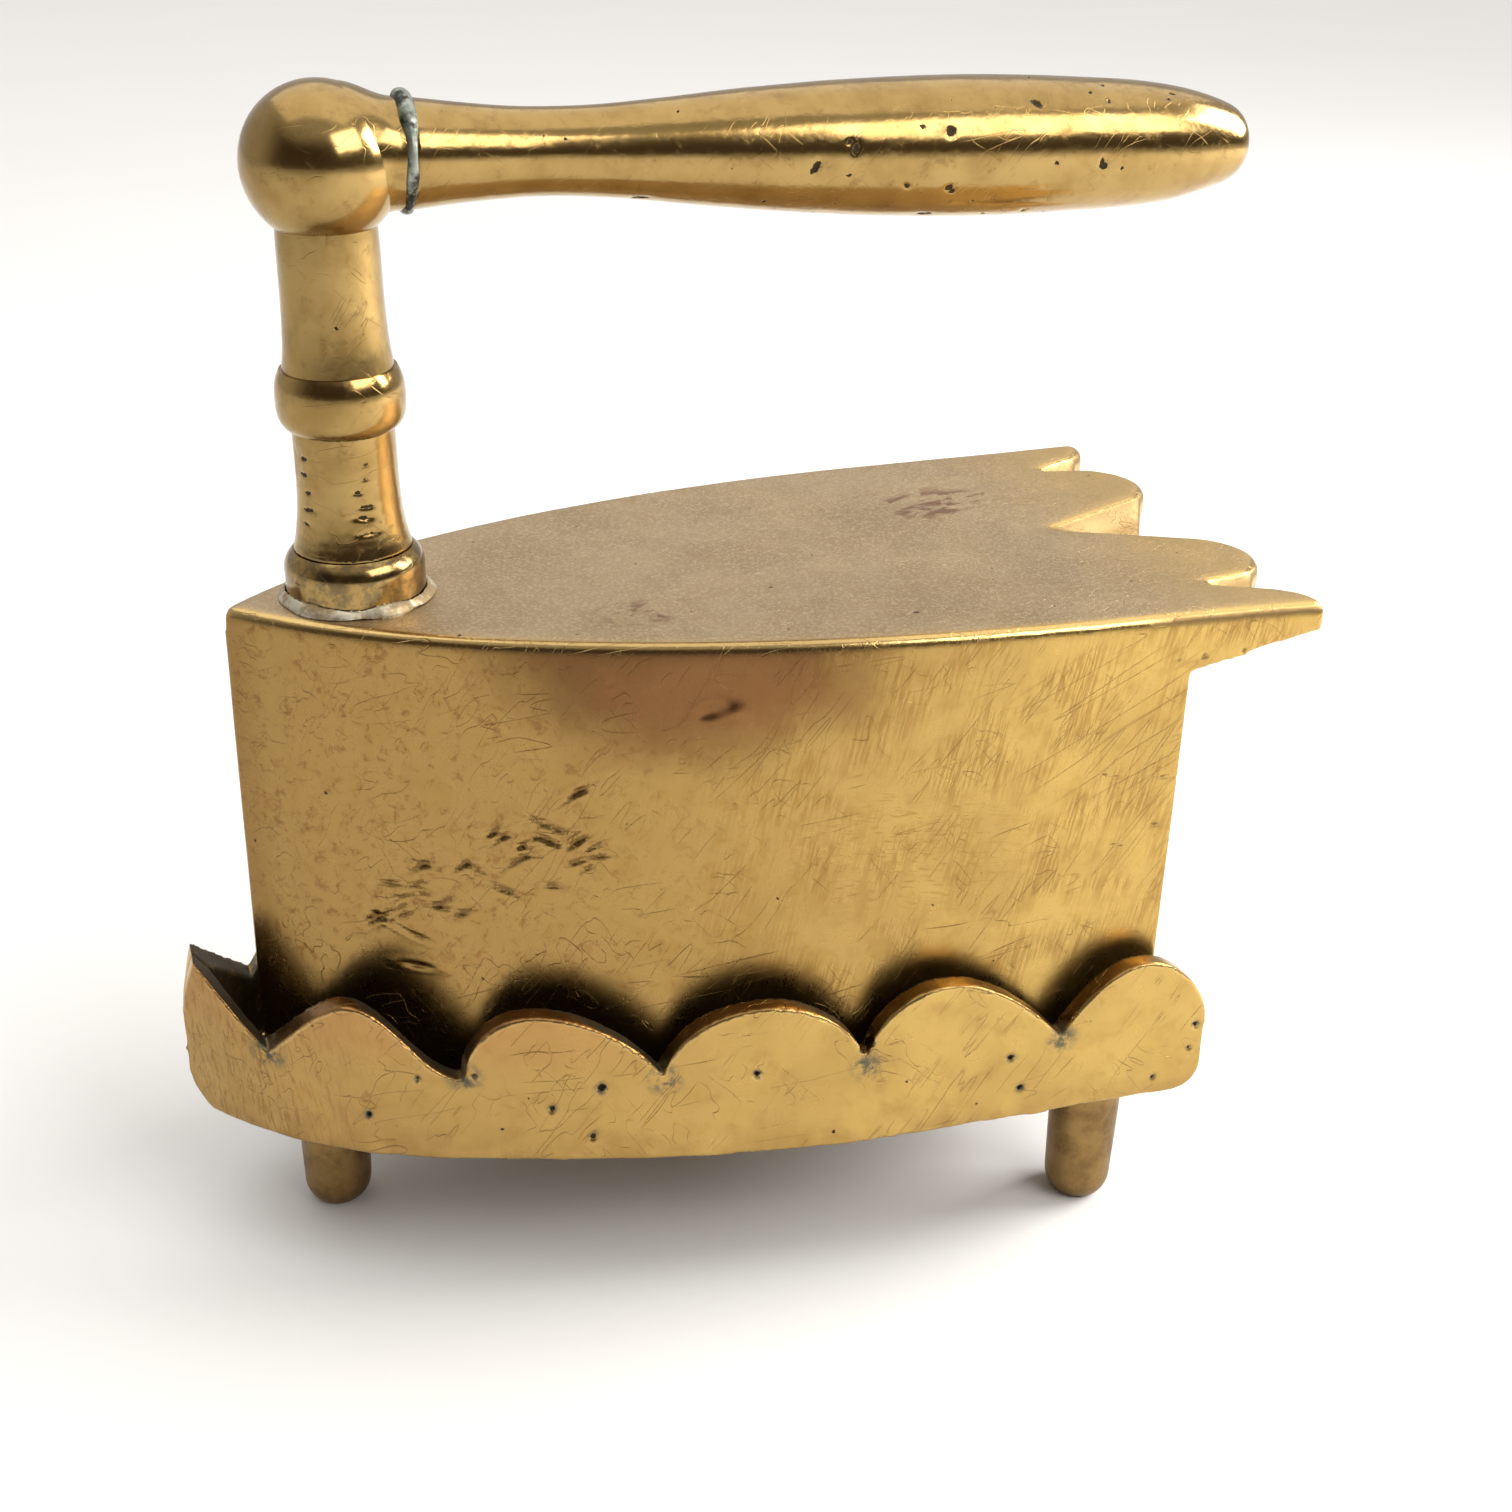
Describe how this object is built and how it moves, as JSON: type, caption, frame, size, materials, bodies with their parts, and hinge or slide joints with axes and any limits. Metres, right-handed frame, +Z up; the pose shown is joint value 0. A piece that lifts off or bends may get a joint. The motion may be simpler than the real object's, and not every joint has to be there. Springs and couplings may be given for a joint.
{
  "type": "charcoal iron",
  "caption": "Miniature brass box iron with a ball-cornered post handle and a crown-cut heel, standing in a scalloped three-legged trivet.",
  "frame": {"origin": "middle of the bounding box in plan, on the surface that the trivet's feet stand on", "axes": "+Z up, -X towards the toe, +X towards the heel, Y = 0 is the middle plane that the object mirrors about"},
  "size_m": [0.0678, 0.0368, 0.0709],
  "materials": {
    "trivet_brass": "dull, uncleaned",
    "gallery_brass": "satin, hand filed, worn edges",
    "foot_brass": "dull brown patina",
    "body_brass": "satin, brushed and scratched",
    "sole_brass": "satin",
    "door_brass": "satin",
    "polished_brass": "polished, worn",
    "grip_brass": "polished, with small casting pits",
    "solder": "dull grey, green with age",
    "rail_iron": "rough, dark",
    "slug_iron": "rough, scaled by the fire",
    "pin_steel": "dull"
  },
  "bodies": {
    "trivet": {"trivet_plate": "trivet_brass", "gallery_left": "gallery_brass", "gallery_right": "gallery_brass", "toe_foot": "foot_brass", "heel_foot_left": "foot_brass", "heel_foot_right": "foot_brass"},
    "iron": {"body_casting": "body_brass", "sole_plate": "sole_brass", "slug_rail_left": "rail_iron", "slug_rail_right": "rail_iron", "heater_slug": "slug_iron", "hinge_pin": "pin_steel", "post_foot_collar": "polished_brass", "post_lower_column": "polished_brass", "post_ring": "polished_brass", "post_upper_column": "polished_brass", "elbow_ball": "polished_brass", "handle_grip": "grip_brass", "grip_solder_ring": "solder", "foot_solder_bead": "solder", "post_stud": "sole_brass", "stud_washer": "sole_brass"},
    "door": {"heel_door": "door_brass", "door_knob": "door_brass"}
  },
  "joints": [
    {"name": "iron_lift", "type": "slide", "parent": "trivet", "child": "iron", "axis": [0, 0, 1], "range_m": [0, 0.03]},
    {"name": "door_swing", "type": "hinge", "parent": "iron", "child": "door", "pos_m": [0.0262, 0, 0.0363], "axis": [0, -1, 0], "range_deg": [0, 85]}
  ]
}
